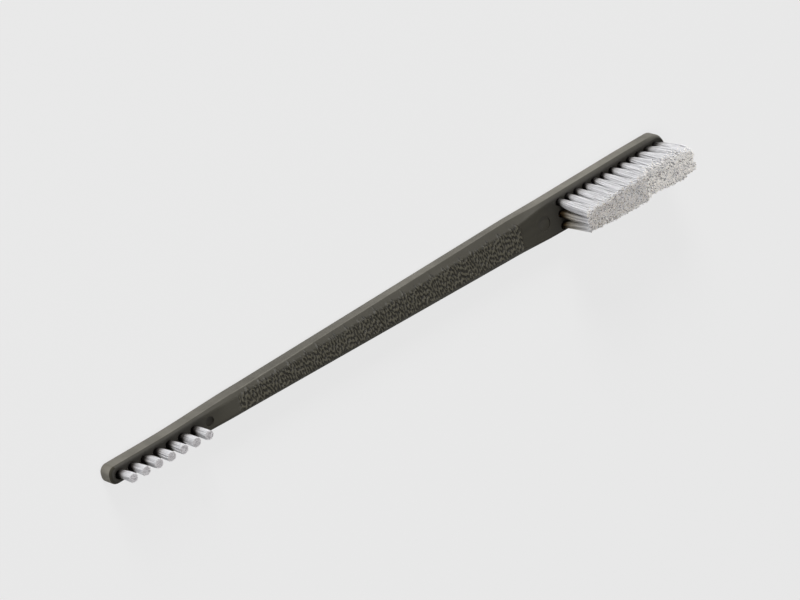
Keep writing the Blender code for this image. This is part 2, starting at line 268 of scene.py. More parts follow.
# Nylon: colours along and at the ends of the filaments, and how much light passes in
STRAND_STOPS = ((0.3, (0.755, 0.75, 0.77)), (0.7, (0.83, 0.83, 0.85)))
STRAND_SCALE = 3200.0
STRAND_STRETCH = (1.0, 1.0, 0.06)
SHADED_SHARE = 0.08
SHADED_COLOUR = (0.5, 0.5, 0.51)
SHINE_SCALE = 2500.0
SHINE_STRETCH = (1.0, 1.0, 0.2)
SHINE_ROUGHNESS = (0.3, 0.45)
SCRATCH_SCALE = 9000.0
SCRATCH_STRETCH = (1.0, 1.0, 0.1)
SCRATCH_STRENGTH = 0.3
SCRATCH_DEPTH = 0.01 * MM
SCATTER_DISTANCE = 0.8 * MM
LARGE_SCATTER = 0.45
INNER_SCATTER = 0.4
SMALL_SCATTER = 0.35
# Painted shade towards the holes; the inner rows' copy is darker and warmer, a painted shadow of
# the outer row
LARGE_ROOT_SHADE_CLEAR = 3.4 * MM
SMALL_ROOT_SHADE_CLEAR = 3.6 * MM
INNER_ROOT_SHADE_CLEAR = 9.5 * MM
LARGE_ROOT_SHADE_STOPS = ((0.0, 0.01), (0.2, 0.05), (0.33, 0.35), (0.5, 0.68), (1.0, 1.0))
INNER_ROOT_SHADE_STOPS = ((0.0, 0.01), (0.13, 0.12), (0.35, 0.62), (0.65, 0.84), (1.0, 1.0))
SMALL_ROOT_SHADE_STOPS = ((0.0, 0.01), (0.3, 0.07), (0.5, 0.4), (0.7, 0.8), (1.0, 1.0))
OUTER_SHADE_WARMTH = (1.0, 1.04, 1.08)
INNER_SHADE_WARMTH = (1.0, 1.2, 1.62)
# Colours of the cut ends by tone; the darkest stop colours the painted-shadow spots
WARM_ENDS = ((0.05, (0.12, 0.095, 0.07)), (0.2, (0.56, 0.5, 0.43)), (0.9, (1.0, 0.955, 0.89)))
COOL_ENDS = ((0.05, (0.12, 0.11, 0.11)), (0.2, (0.52, 0.5, 0.51)), (0.9, (0.96, 0.94, 0.95)))

# Steel of the anchor wires
STEEL_STOPS = ((0.3, (0.45, 0.44, 0.42)), (0.7, (0.62, 0.61, 0.58)))
STEEL_SCALE = 6000.0
STEEL_STRETCH = (1.0, 1.0, 0.1)
STEEL_ROUGHNESS = (0.3, 0.45)

# Camera, in the part's frame
CAMERA_RIGHT = Vector((0.7381, -0.2264, 0.6356))
CAMERA_UP = Vector((0.4345, 0.8802, -0.1910))
CAMERA_BACK = Vector((-0.5163, 0.4171, 0.7480))
CAMERA_DISTANCE = 1100.0 * MM
CAMERA_ASIDE = 2.557 * MM
CAMERA_ABOVE = 1.2 * MM
CAMERA_CENTRE = Vector((-0.2 * MM, 0.12 * MM, 0.0))
CAMERA_LENS = 209.99
CAMERA_SENSOR = 36.0

# Studio
FLOOR_SIZE = 6.0
FLOOR_COLOUR = (0.8, 0.8, 0.8)
FLOOR_SHADOW_SHARE = 0.16
FLOOR_GLOW = 0.835
LIGHT_DISTANCE = 3.0
KEY_DIRECTION = (-0.1, 0.92, 0.33)
KEY_SIZE = 1.0
KEY_POWER = 65.0
TOP_DIRECTION = (-0.1, 0.0, 1.0)
TOP_SIZE = 2.0
TOP_POWER = 47.0
WORLD_STOPS = ((0.0, 0.787), (0.05, 0.3), (0.4, 0.12))


# Handle shape at a place along it. Places run from the small end to the large end.


def straight(start, end, place, low, high):
    return low + (high - low) * np.clip((place - start) / (end - start), 0.0, 1.0)


def eased(start, end, place, low, high):
    share = np.clip((place - start) / (end - start), 0.0, 1.0)
    return low + (high - low) * share * share * (3.0 - 2.0 * share)


def half_width(place):
    grip = straight(NECK_END, GRIP_END, place, NECK_WIDTH, GRIP_END_WIDTH)
    near = eased(NECK_START, NECK_END, place, SMALL_HEAD_WIDTH, grip)
    far = straight(LARGE_HEAD_START, LARGE_HEAD_FULL, place, GRIP_END_WIDTH, LARGE_HEAD_WIDTH)
    return np.where(place < NECK_END, near, np.where(place < LARGE_HEAD_START, grip, far)) / 2


def side_value(place, small, neck, grip_end, large):
    """A measure of the sides, which runs evenly along the grip and eases at both heads."""
    grip = straight(NECK_END, GRIP_END, place, neck, grip_end)
    near = eased(SIDE_NECK_START, NECK_END, place, small, grip)
    far = eased(GRIP_END, LARGE_HEAD_START, place, grip, large)
    return np.where(place < NECK_END, near, far)


def wall_height(place):
    return side_value(place, SMALL_HEAD_WALL, NECK_WALL, GRIP_END_WALL, LARGE_HEAD_WALL)


def shoulder_inset(place):
    return side_value(
        place, SMALL_HEAD_SHOULDER, NECK_SHOULDER, GRIP_END_SHOULDER, LARGE_HEAD_SHOULDER,
    )


def steps_between(start, end, step):
    count = max(1, round((end - start) / step))
    return list(np.linspace(start, end, count + 1)[1:])


def stations():
    """Section place, corner radius and outline angle of each point of the upper outline,
    from the large end to the small end."""
    places = steps_between(SMALL_END_RADIUS, GRAIN_START, PLAIN_STEP)
    places += steps_between(GRAIN_START, GRAIN_END, GRAIN_STEP)
    places += steps_between(GRAIN_END, LENGTH - LARGE_END_RADIUS, PLAIN_STEP)[:-1]
    rows = []
    for angle in np.linspace(0.0, math.pi / 2, CORNER_STEPS + 1):
        rows.append((LENGTH - LARGE_END_RADIUS, LARGE_END_RADIUS, angle))
    for place in reversed(places):
        rows.append((place, 0.0, math.pi / 2))
    for angle in np.linspace(math.pi / 2, math.pi, CORNER_STEPS + 1):
        rows.append((SMALL_END_RADIUS, SMALL_END_RADIUS, angle))
    return np.array(rows)


def bezier(start, control, end, share):
    return (1 - share) ** 2 * start + 2 * share * (1 - share) * control + share**2 * end


def profile(place):
    """Insets and heights of the side's points at each place, from the back to the front."""
    zero = np.zeros_like(place)
    wall = wall_height(place)
    inset = shoulder_inset(place)
    slope = np.hypot(inset, THICKNESS - wall)
    inwards = inset / slope
    upwards = (THICKNESS - wall) / slope
    points = []
    for share in np.linspace(0.0, 1.0, ROUND_STEPS + 1):
        turn = share * math.pi / 2
        points.append((
            zero + BACK_EDGE_RADIUS * (1.0 - math.sin(turn)),
            zero + BACK_EDGE_RADIUS * (1.0 - math.cos(turn)),
        ))
    for share in np.linspace(0.0, 1.0, ROUND_STEPS + 1):
        points.append((
            bezier(zero, zero, CREASE_LENGTH * inwards, share),
            bezier(wall - CREASE_LENGTH, wall, wall + CREASE_LENGTH * upwards, share),
        ))
    reach = np.minimum(GRAIN_SIDE_REACH, slope / 2 - CREASE_LENGTH)
    for share in np.linspace(1.0, 0.0, GRAIN_SIDE_STEPS + 1)[:-1]:
        down = CREASE_LENGTH + reach * share
        points.append((inset - down * inwards, THICKNESS - down * upwards))
    for share in np.linspace(0.0, 1.0, ROUND_STEPS + 1):
        points.append((
            bezier(inset - CREASE_LENGTH * inwards, inset, inset + CREASE_LENGTH, share),
            bezier(THICKNESS - CREASE_LENGTH * upwards, THICKNESS, zero + THICKNESS, share),
        ))
    return points


def grain_field(rng):
    """Wrinkle pattern on an even lattice over the grip: winding ridges of one width."""
    columns = int((GRAIN_END - GRAIN_START) / GRAIN_CELL) + 2
    rows = int(LARGE_HEAD_WIDTH / GRAIN_CELL) + 2
    noise = rng.standard_normal((columns, rows))
    along = np.fft.fftfreq(columns, GRAIN_CELL)[:, None]
    across = np.fft.fftfreq(rows, GRAIN_CELL)[None, :]
    over = along * math.cos(GRAIN_SLANT) + across * math.sin(GRAIN_SLANT)
    lengthwise = across * math.cos(GRAIN_SLANT) - along * math.sin(GRAIN_SLANT)
    waves = np.hypot(over, lengthwise / GRAIN_STRETCH) * GRAIN_WAVE
    band = np.exp(-(((waves - 1.0) / GRAIN_BAND) ** 2))
    field = np.real(np.fft.ifft2(np.fft.fft2(noise) * band))
    field /= field.std()
    return 0.5 + 0.5 * np.tanh(GRAIN_CONTRAST * (field + GRAIN_FILL))


def grain_mask(place, y):
    """1 on the grained part of the front face and the shoulders, with an uneven border."""
    teeth = np.sin(place / LONG_TEETH) + np.sin(place / SHORT_TEETH + y / TEETH_SKEW)
    edge = half_width(place) - shoulder_inset(place) - CREASE_LENGTH + GRAIN_OVERLAP
    edge = edge + GRAIN_RAGGED * teeth / 2
    mask = eased(0.0, GRAIN_EDGE, edge - np.abs(y), 0.0, 1.0)
    mask = mask * eased(0.0, GRAIN_EDGE, place - GRAIN_START, 0.0, 1.0)
    return mask * eased(0.0, GRAIN_EDGE, GRAIN_END - place, 0.0, 1.0)


def grain_at(field, place, y):
    """Height of the grain at points of the front face and the shoulders."""
    column = np.clip((place - GRAIN_START) / GRAIN_CELL, 0, field.shape[0] - 2)
    row = np.clip((y + LARGE_HEAD_WIDTH / 2) / GRAIN_CELL, 0, field.shape[1] - 2)
    c0 = column.astype(int)
    r0 = row.astype(int)
    dc = column - c0
    dr = row - r0
    near = field[c0, r0] * (1 - dr) + field[c0, r0 + 1] * dr
    far = field[c0 + 1, r0] * (1 - dr) + field[c0 + 1, r0 + 1] * dr
    return GRAIN_HEIGHT * grain_mask(place, y) * (near * (1 - dc) + far * dc)


def handle_mesh(name):
    """Loft of the plan outlines from the back to the front, with the grain on the grip."""
    place, radius, angle = stations().T
    count = len(place)
    rings = []
    for inset, height in profile(place):
        along = place + (radius - inset) * np.cos(angle) - LENGTH / 2
        side = half_width(place) - radius + (radius - inset) * np.sin(angle)
        upper = np.stack([along, side, height], axis=1)
        lower = upper[::-1] * (1.0, -1.0, 1.0)
        rings.append(np.concatenate([upper, lower]))
    field = grain_field(np.random.default_rng(GRAIN_SEED))
    ungrained = 2 * (ROUND_STEPS + 1)
    for ring in rings[ungrained:]:
        ring[:, 2] += grain_at(field, ring[:, 0] + LENGTH / 2, ring[:, 1])
    top = rings[-1][:count]
    shares = 1.0 - 2.0 * np.arange(1, ACROSS_STEPS) / ACROSS_STEPS
    inner_x = np.repeat(top[1:-1, 0:1], ACROSS_STEPS - 1, axis=1)
    inner_y = top[1:-1, 1:2] * shares[None, :]
    inner_z = THICKNESS + grain_at(field, inner_x + LENGTH / 2, inner_y)
    inner = np.stack([inner_x, inner_y, inner_z], axis=2).reshape(-1, 3)
    points = np.concatenate(rings + [inner])

    loop = 2 * count
    faces = []
    for ring in range(len(rings) - 1):
        low = ring * loop + np.arange(loop)
        after = ring * loop + (np.arange(loop) + 1) % loop
        faces += np.stack([low, after, after + loop, low + loop], axis=1).tolist()
    index = np.arange(count - 1)
    mirror = loop - 1 - index
    faces += np.stack([index, mirror, mirror - 1, index + 1], axis=1).tolist()
    last = (len(rings) - 1) * loop
    grid = np.zeros((count, ACROSS_STEPS + 1), int)
    grid[:, 0] = last + np.arange(count)
    grid[:, -1] = last + loop - 1 - np.arange(count)
    grid[1:-1, 1:-1] = len(rings) * loop + np.arange(len(inner)).reshape(count - 2, -1)
    body = grid[1:-1]
    quads = np.stack([body[:-1, :-1], body[1:, :-1], body[1:, 1:], body[:-1, 1:]], axis=2)
    faces += quads.reshape(-1, 4).tolist()
    faces.append([grid[0, 0], *body[0].tolist(), grid[0, -1]])
    faces.append([grid[-1, -1], *body[-1][::-1].tolist(), grid[-1, 0]])
    mesh = bpy.data.meshes.new(name)
    mesh.from_pydata(points.tolist(), [], [[int(i) for i in face] for face in faces])
    return mesh


def turned_stack(centres, rings, sides):
    """Upright turned bodies, one at each centre, each with the given (radius, height) rings."""
    points = []
    faces = []
    for x, y in centres:
        base = len(points)
        for radius, height in rings:
            for side in range(sides):
                turn = 2 * math.pi * side / sides
                points.append((x + radius * math.cos(turn), y + radius * math.sin(turn), height))
        for ring in range(len(rings) - 1):
            for side in range(sides):
                after = (side + 1) % sides
                low = base + ring * sides
                faces.append((low + side, low + after, low + sides + after, low + sides + side))
        faces.append([base + side for side in reversed(range(sides))])
        top = base + (len(rings) - 1) * sides
        faces.append([top + side for side in range(sides)])
    return points, faces


def tool_object(name, shapes):
    points = []
    faces = []
    for shape_points, shape_faces in shapes:
        base = len(points)
        points += shape_points
        faces += [[base + index for index in face] for face in shape_faces]
    mesh = bpy.data.meshes.new(name)
    mesh.from_pydata(points, [], faces)
    tool = bpy.data.objects.new(name, mesh)
    bpy.context.scene.collection.objects.link(tool)
    return tool


def hole_tool():
    shapes = []
    for centres, diameter in (
        ([(x, y) for _row, _column, x, y in large_holes()], LARGE_HOLE_DIAMETER),
        ([(small_x(index), 0.0) for index in range(1, SMALL_TUFTS + 1)], SMALL_HOLE_DIAMETER),
    ):
        radius = diameter / 2
        rings = (
            (radius, THICKNESS - HOLE_DEPTH),
            (radius, THICKNESS - RIM_CHAMFER),
            (radius + RIM_CHAMFER, THICKNESS),
            (radius + RIM_CHAMFER, THICKNESS + CUT_OVERRUN),
        )
        shapes.append(turned_stack(centres, rings, HOLE_SIDES))
    return tool_object("hole_tool", shapes)


def mark_tool():
    shapes = []
    for place, diameter, depth in MARKS:
        radius = diameter / 2
        rings = ((radius, THICKNESS - depth), (radius, THICKNESS + CUT_OVERRUN))
        shapes.append(turned_stack([(place - LENGTH / 2, 0.0)], rings, MARK_SIDES))
    return tool_object("mark_tool", shapes)


def cut_mesh(item, tools):
    """The object's mesh with each tool cut away, and the tools removed."""
    for tool in tools:
        modifier = item.modifiers.new(tool.name, "BOOLEAN")
        modifier.operation = "DIFFERENCE"
        modifier.solver = "EXACT"
        modifier.object = tool
    graph = bpy.context.evaluated_depsgraph_get()
    mesh = bpy.data.meshes.new_from_object(item.evaluated_get(graph))
    item.modifiers.clear()
    item.data = mesh
    for tool in tools:
        bpy.data.objects.remove(tool, do_unlink=True)
    return mesh


def vertex_array(mesh):
    points = np.zeros(len(mesh.vertices) * 3)
    mesh.vertices.foreach_get("co", points)
    return points.reshape(-1, 3)


def rubbed_and_lit(points, place, wall, below):
    """Worn edges along the tops of the walls, and painted light on the walls, the two ends, the
    shoulders and the front beside the neck.
    """
    z = points[:, 2]
    off_crease = np.hypot(half_width(place) - np.abs(points[:, 1]), z - wall)
    wear_and_light = np.exp(-((off_crease / CREASE_WEAR) ** 2)) * (z < wall + CREASE_WEAR / 2)
    from_end = np.minimum(place, LENGTH - place)
    on_wall = np.interp(place, WALL_LIGHT_PLACES, WALL_LIGHT)
    at_end = eased(0.0, END_LIGHT_REACH, END_LIGHT_REACH - from_end, on_wall, END_CAP_LIGHT)
    wear_and_light = np.maximum(wear_and_light, at_end * (z < wall))
    shoulder = eased(GRIP_END, LARGE_HEAD_START, place, SHOULDER_LIGHT, HEAD_SHOULDER_LIGHT)
    toe = eased(LENGTH - TOE_LIGHT_REACH, LENGTH, place, 0.0, TOE_SHOULDER_LIGHT)
    wear_and_light = np.maximum(wear_and_light, np.maximum(shoulder, toe) * below)
    off_neck = (place - NECK_LIGHT_PLACE) / NECK_LIGHT_REACH
    return np.maximum(wear_and_light, NECK_FACE_LIGHT * np.exp(-(off_neck**2)) * (z > wall))


def painted_shade_around(points, place, wall):
    """Painted shade on the front around the tuft holes and on the floors of the dents."""
    holes = []
    for _row, _column, x, y in large_holes():
        holes.append((x, y, LARGE_HOLE_DIAMETER / 2, LARGE_SHADE_REACH))
    for index in range(1, SMALL_TUFTS + 1):
        holes.append((small_x(index), 0.0, SMALL_HOLE_DIAMETER / 2, SMALL_SHADE_REACH))
    painted_shade = np.zeros(len(points))
    for x, y, radius, reach in holes:
        beyond = np.maximum(np.hypot(points[:, 0] - x, points[:, 1] - y) - radius, 0.0)
        painted_shade = np.maximum(painted_shade, np.exp(-((beyond / reach) ** 2)))
    painted_shade *= eased(wall, THICKNESS, points[:, 2], 0.0, 1.0)
    for (mark_place, diameter, depth), darkness in zip(MARKS, MARK_SHADE):
        inside = np.hypot(place - mark_place, points[:, 1]) < diameter / 2 + depth
        floor = inside & (points[:, 2] < THICKNESS - depth / 2) & (points[:, 2] > depth)
        painted_shade = np.where(floor, np.maximum(painted_shade, darkness), painted_shade)
    return painted_shade


def mark_wear_light_and_shade(mesh):
    """Point values for the material: worn places with painted light, raised grain with painted
    highlight, painted shade, and dull sides.
    """
    points = vertex_array(mesh)
    place = np.clip(points[:, 0] + LENGTH / 2, 0.0, LENGTH)
    wall = wall_height(place)
    below = eased(0.0, BELOW_FRONT_FADE, THICKNESS - points[:, 2], 0.0, 1.0)
    inset = half_width(place) - np.abs(points[:, 1])
    off_face = np.clip(1.0 - inset / shoulder_inset(place), 0.0, 1.0)
    smooth = THICKNESS - (THICKNESS - wall) * off_face
    raised = np.clip((points[:, 2] - smooth) / GRAIN_HEIGHT, 0.0, 1.0)
    # Painted shade in the grain's valleys
    valley = grain_mask(place, points[:, 1]) * (1.0 - raised)
    valley = valley * (points[:, 2] > wall + CREASE_LENGTH)
    for name, values in (
        ("wear_and_light", rubbed_and_lit(points, place, wall, below)),
        ("relief", raised * (1.0 - off_face) ** 2),
        ("painted_shade", np.maximum(painted_shade_around(points, place, wall), valley)),
        ("dull", below * ((points[:, 1] < 0) | (place < SMALL_END_RADIUS))),
    ):
        attribute = mesh.attributes.new(name, "FLOAT", "POINT")
        attribute.data.foreach_set("value", values.astype(np.float32))


def make_handle(material):
    item = bpy.data.objects.new("moulded_handle", handle_mesh("moulded_handle"))
    bpy.context.scene.collection.objects.link(item)
    mesh = cut_mesh(item, (mark_tool(), hole_tool()))
    mesh.materials.clear()
    mesh.materials.append(material)
    mesh.shade_smooth()
    mesh.set_sharp_from_angle(angle=HANDLE_SHARP_ANGLE)
    mark_wear_light_and_shade(mesh)
    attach(item, BODY)
    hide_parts("handle")


# Places of the holes, in the part's own frame


def large_x(column):
    last = LENGTH / 2 - LARGE_LAST_HOLE_FROM_END
    return last - (LARGE_COLUMNS - column) * LARGE_COLUMN_PITCH


def large_y(row):
    """Row 1 lies on the +Y side."""
    return ((LARGE_ROWS + 1) / 2 - row) * LARGE_ROW_PITCH


def small_x(index):
    return -LENGTH / 2 + SMALL_FIRST_HOLE_FROM_END + (index - 1) * SMALL_PITCH


def large_holes():
    """(row, column, x, y) of each hole of the wide head."""
    holes = []
    for row in range(1, LARGE_ROWS + 1):
        for column in range(1, LARGE_COLUMNS + 1):
            holes.append((row, column, large_x(column), large_y(row)))
    return holes


# Tufts


def large_trim(x):
    """Height of the trimmed tips over the front face, at a place of the tips."""
    block = straight(NOTCH_SLOPE_START, NOTCH_BOTTOM, x, BLOCK_TRIM, NOTCH_TRIM)
    toe = straight(NOTCH_BOTTOM, LENGTH / 2, x, TOE_TRIM, TOE_END_TRIM)
    return np.where(x < NOTCH_BOTTOM, block, toe)


def small_trim(x):
    return np.full_like(x, SMALL_TRIM)


def lean_of(column, row):
    """How far the middle of a tuft's tips stands from its hole."""
    along = np.interp(column, LEAN_COLUMNS, LEAN_ALONG) * MM
    if row == 1:
        return along, -np.interp(column, LEAN_COLUMNS, LEAN_IN_LIT_ROW) * MM
    if row == LARGE_ROWS:
        return along, np.interp(column, LEAN_COLUMNS, LEAN_IN_FAR_ROW) * MM
    return along, 0.0


def small_lean(index):
    """The tufts of the narrow head stand a little towards +Y, the last one the least."""
    first, last = SMALL_LEAN_ACROSS
    return SMALL_LEAN_ALONG, first + (last - first) * (index - 1) / (SMALL_TUFTS - 1)


def folded_spots(across, beside, kind, rng):
    """Even places in a unit disc for both halves of a tuft, in order along the wire."""
    count = kind["filaments"]
    number = np.arange(2 * count)
    share = np.sqrt((number + 0.5) / len(number))
    angle = number * GOLDEN_ANGLE + rng.uniform(0.0, 2 * math.pi)
    disc = np.stack([share * np.cos(angle), share * np.sin(angle)], axis=1)
    disc = disc[np.argsort(disc @ across)]
    return [half[np.argsort(half @ beside)] for half in (disc[:count], disc[count:])]


def half_paths(spots, off_wire, beside, hole, lean, kind, rng):
    """Paths of one half of the tuft, from the cut tips down beside the anchor wire, on the
    side that off_wire points to."""
    centre = np.array(hole)
    turn = np.arctan2(spots[:, 1], spots[:, 0])
    reach = 1.0 / np.maximum(np.abs(np.cos(turn)), np.abs(np.sin(turn)))
    filled = spots * (1.0 + kind["squareness"] * (reach - 1.0))[:, None]
    tip = centre + np.array(lean) + filled * np.array(kind["fan"])
    tip = tip + rng.normal(0.0, TIP_JITTER, tip.shape)
    outer = np.clip((spots @ kind["outward"] - EDGE_SHARE) / (1.0 - EDGE_SHARE), 0.0, 1.0)
    short = np.abs(rng.normal(0.0, kind["scatter"] + kind["edge_scatter"] * outer))
    tip_z = THICKNESS + kind["trim"](tip[:, 0]) - short
    root_reach = kind["hole"] / 2 * np.array(kind["root_shares"]) - kind["radius"]
    root = centre + spots * root_reach + np.array((kind["root_shift"], 0.0))
    bow = rng.normal(0.0, BOW, tip.shape)
    levels = []
    for step in range(RISE_STEPS + 1):
        t = 1.0 - step / RISE_STEPS
        flat = root + (tip - root) * t ** kind["fan_power"] + bow * math.sin(math.pi * t)
        levels.append(np.column_stack([flat, THICKNESS + (tip_z - THICKNESS) * t]))
    root_radius = root_reach.min()
    clear = ANCHOR_THICKNESS / 2 + kind["radius"]
    away = np.abs(spots @ off_wire) * root_radius
    squeezed = clear + away * (root_radius - clear) / root_radius
    along_wire = np.outer(spots @ beside, beside) * root_radius * WIRE_SPREAD_SHARE
    at_wire = centre + along_wire + np.outer(squeezed, off_wire)
    wire_low = THICKNESS - HOLE_DEPTH + ANCHOR_ABOVE_BOTTOM
    for height in (wire_low + ANCHOR_HEIGHT, wire_low):
        levels.append(np.column_stack([at_wire, np.full(len(tip), height)]))
    return np.stack(levels, axis=1)


def folded_paths(hole, lean, kind, rng):
    """Paths of the folded filaments, each from one cut tip down under the anchor wire and
    up to the other tip, as an array of filaments by points by 3, and the wire's direction."""
    across = np.array([-math.sin(ANCHOR_ANGLE), math.cos(ANCHOR_ANGLE)])
    beside = np.array([math.cos(ANCHOR_ANGLE), math.sin(ANCHOR_ANGLE)])
    right, left = folded_spots(across, beside, kind, rng)
    first = half_paths(right, -across, beside, hole, lean, kind, rng)
    second = half_paths(left, across, beside, hole, lean, kind, rng)
    start = first[:, -1]
    end = second[:, -1]
    depth = BEND_DEPTH + BEND_SCATTER * rng.uniform(0.0, 1.0, kind["filaments"])
    bends = []
    for step in range(1, BEND_STEPS):
        turn = math.pi * step / BEND_STEPS
        spot = start + (end - start) * (1.0 - math.cos(turn)) / 2
        spot[:, 2] -= depth * math.sin(turn)
        bends.append(spot)
    paths = np.concatenate([first, np.stack(bends, axis=1), second[:, ::-1]], axis=1)
    return paths, np.array([*beside, 0.0])


def tube_arrays(paths, side, kind, rng):
    """Vertices and faces of round filaments along the paths, with blunt level tips. With
    them come two values a face: the tone of its half filament and whether it is a cut end."""
    tangent = np.gradient(paths, axis=1)
    tangent /= np.linalg.norm(tangent, axis=2, keepdims=True)
    normal = np.cross(tangent, side)
    normal /= np.linalg.norm(normal, axis=2, keepdims=True)
    other = np.cross(normal, tangent)
    turns = 2 * math.pi * np.arange(FILAMENT_SIDES) / FILAMENT_SIDES
    ring = kind["radius"] * (
        np.cos(turns)[None, None, :, None] * normal[:, :, None, :]
        + np.sin(turns)[None, None, :, None] * other[:, :, None, :]
    )
    body = paths[:, :, None, :] + ring
    caps = []
    for end in (0, -1):
        slope = rng.normal((0.0, kind["cut_tilt"]), kind["cut_slope"], (len(paths), 1, 2))
        rise = np.sum(ring[:, end, :, :2] * slope, axis=2)
        body[:, end, :, 2] = paths[:, end, None, 2] - TIP_ROUND + rise
        cap = paths[:, end, None, :] + ring[:, end] * TIP_SHARE
        cap[:, :, 2] = paths[:, end, None, 2] + rise * TIP_SHARE
        caps.append(cap[:, None])
    body = np.concatenate([caps[0], body, caps[1]], axis=1)
    filaments, rings, sides = body.shape[:3]
    index = np.arange(filaments * rings * sides).reshape(filaments, rings, sides)
    after = np.roll(index, -1, axis=2)
    quads = np.stack([index[:, :-1], after[:, :-1], after[:, 1:], index[:, 1:]], axis=3)
    ends = [index[:, 0, ::-1], index[:, -1, :]]
    faces = quads.reshape(-1, 4).tolist()
    for end in ends:
        faces += end.tolist()
    tones = rng.uniform(*kind["tones"], (2, filaments))
    # Dark ends: painted shadow between the tips
    tones[rng.uniform(0.0, 1.0, (2, filaments)) < kind["shadow_specks"]] = 0.0
    tone = np.empty(quads.shape[:3])
    tone[:, :rings // 2] = tones[0][:, None, None]
    tone[:, rings // 2:] = tones[1][:, None, None]
    cut = np.zeros(quads.shape[:3])
    cut[:, 0] = 1.0
    cut[:, -1] = 1.0
    tone = np.concatenate([tone.ravel(), tones[0], tones[1]])
    cut = np.concatenate([cut.ravel(), np.ones(2 * filaments)])
    return body.reshape(-1, 3), faces, tone, cut


def anchor_arrays(hole, hole_diameter):
    """The flat wire that stands across the fold and bites into the wall of its hole."""
    half = hole_diameter / 2 + ANCHOR_BITE
    low = THICKNESS - HOLE_DEPTH + ANCHOR_ABOVE_BOTTOM
    turn = Matrix.Rotation(ANCHOR_ANGLE, 3, "Z")
    points = []
    for z in (low, low + ANCHOR_HEIGHT):
        for x, y in ((-1, -1), (1, -1), (1, 1), (-1, 1)):
            corner = turn @ Vector((x * half, y * ANCHOR_THICKNESS / 2, 0.0))
            points.append((hole[0] + corner.x, hole[1] + corner.y, z))
    faces = [(0, 3, 2, 1), (4, 5, 6, 7), (0, 1, 5, 4), (1, 2, 6, 5), (2, 3, 7, 6), (3, 0, 4, 7)]
    return points, faces


def make_tuft(name, node, hole, lean, kind, rng, nylon, metal):
    paths, side = folded_paths(hole, lean, kind, rng)
    points, faces, tone, cut = tube_arrays(paths, side, kind, rng)
    wire_points, wire_faces = anchor_arrays(hole, kind["hole"])
    base = len(points)
    nylon_faces = len(faces)
    points = points.tolist() + wire_points
    faces = faces + [[base + index for index in face] for face in wire_faces]
    mesh = bpy.data.meshes.new(name)
    mesh.from_pydata(points, [], faces)
    mesh.materials.append(nylon)
    mesh.materials.append(metal)
    numbers = np.zeros(len(faces), int)
    numbers[nylon_faces:] = 1
    mesh.polygons.foreach_set("material_index", numbers)
    for label, values in (("tone", tone), ("cut", cut)):
        padded = np.concatenate([values, np.zeros(len(faces) - nylon_faces)])
        attribute = mesh.attributes.new(label, "FLOAT", "FACE")
        attribute.data.foreach_set("value", padded.astype(np.float32))
    mesh.shade_smooth()
    mesh.set_sharp_from_angle(angle=TUFT_SHARP_ANGLE)
    item = bpy.data.objects.new(name, mesh)
    bpy.context.scene.collection.objects.link(item)
    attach(item, BODY)
    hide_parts(node)


def large_kind(column, row):
    """What the tufts of one place on the wide head are like."""
    toe = large_x(column) > NOTCH_BOTTOM
    fan_along = TOE_FAN if toe else BLOCK_FAN
    scatter = TOE_TIP_SCATTER if toe else BLOCK_TIP_SCATTER
    edge_scatter = FAR_EDGE_SCATTER if row == LARGE_ROWS else EDGE_SCATTER
    shadow_specks = TOE_SHADOW_SPECK_SHARE if toe else BLOCK_SHADOW_SPECK_SHARE
    if column >= END_COLUMN and row == 1:
        edge_scatter = END_EDGE_SCATTER
        shadow_specks = END_SHADOW_SPECK_SHARE
    if column == NOTCH_COLUMN:
        fan_along = NOTCH_FAN
        scatter = NOTCH_TIP_SCATTER
    # The toe and the notch get paler cut ends: painted light
    bright = toe or column == NOTCH_COLUMN
    lit_lean = np.interp(column, LEAN_COLUMNS, LEAN_IN_LIT_ROW) * MM
    far_lean = np.interp(column, LEAN_COLUMNS, LEAN_IN_FAR_ROW) * MM
    fan_across = (LARGE_ROW_PITCH - (lit_lean + far_lean) / 2) / 2 * (TOE_SPREAD if toe else 1.0)
    outward = np.array((0.0, (LARGE_ROWS + 1) / 2 - row))
    if column == 1 and row == LARGE_ROWS:
        outward[0] = -1.0
    if column == LARGE_COLUMNS:
        outward[0] = 1.0
    return {
        "hole": LARGE_HOLE_DIAMETER,
        "outward": outward,
        "root_shares": LARGE_ROOT_SHARES,
        "root_shift": LARGE_ROOT_SHIFT,
        "filaments": FOLDED_FILAMENTS,
        "radius": LARGE_FILAMENT_RADIUS,
        "fan": (fan_along, fan_across),
        "fan_power": LARGE_FAN_POWER,
        "squareness": LARGE_SQUARENESS,
        "trim": large_trim,
        "scatter": scatter,
        "edge_scatter": edge_scatter,
        "tones": TOE_LIT_TONES if bright else BLOCK_TONES,
        "shadow_specks": shadow_specks,
        "cut_tilt": TOE_CUT_TILT if bright else 0.0,
        "cut_slope": TOE_CUT_SLOPE if bright else CUT_SLOPE,
    }


def small_kind():
    """What the tufts of the narrow head are like."""
    return {
        "hole": SMALL_HOLE_DIAMETER,
        "outward": np.zeros(2),
        "root_shares": SMALL_ROOT_SHARES,
        "root_shift": SMALL_ROOT_SHIFT,
        "filaments": SMALL_FOLDED_FILAMENTS,
        "radius": SMALL_FILAMENT_RADIUS,
        "fan": (SMALL_FAN_ALONG, SMALL_FAN_ACROSS),
        "fan_power": SMALL_FAN_POWER,
        "squareness": SMALL_SQUARENESS,
        "trim": small_trim,
        "scatter": SMALL_TIP_SCATTER,
        "edge_scatter": 0.0,
        "tones": SMALL_TONES,
        "shadow_specks": SMALL_SHADOW_SPECK_SHARE,
        "cut_tilt": 0.0,
        "cut_slope": SMALL_CUT_SLOPE,
    }


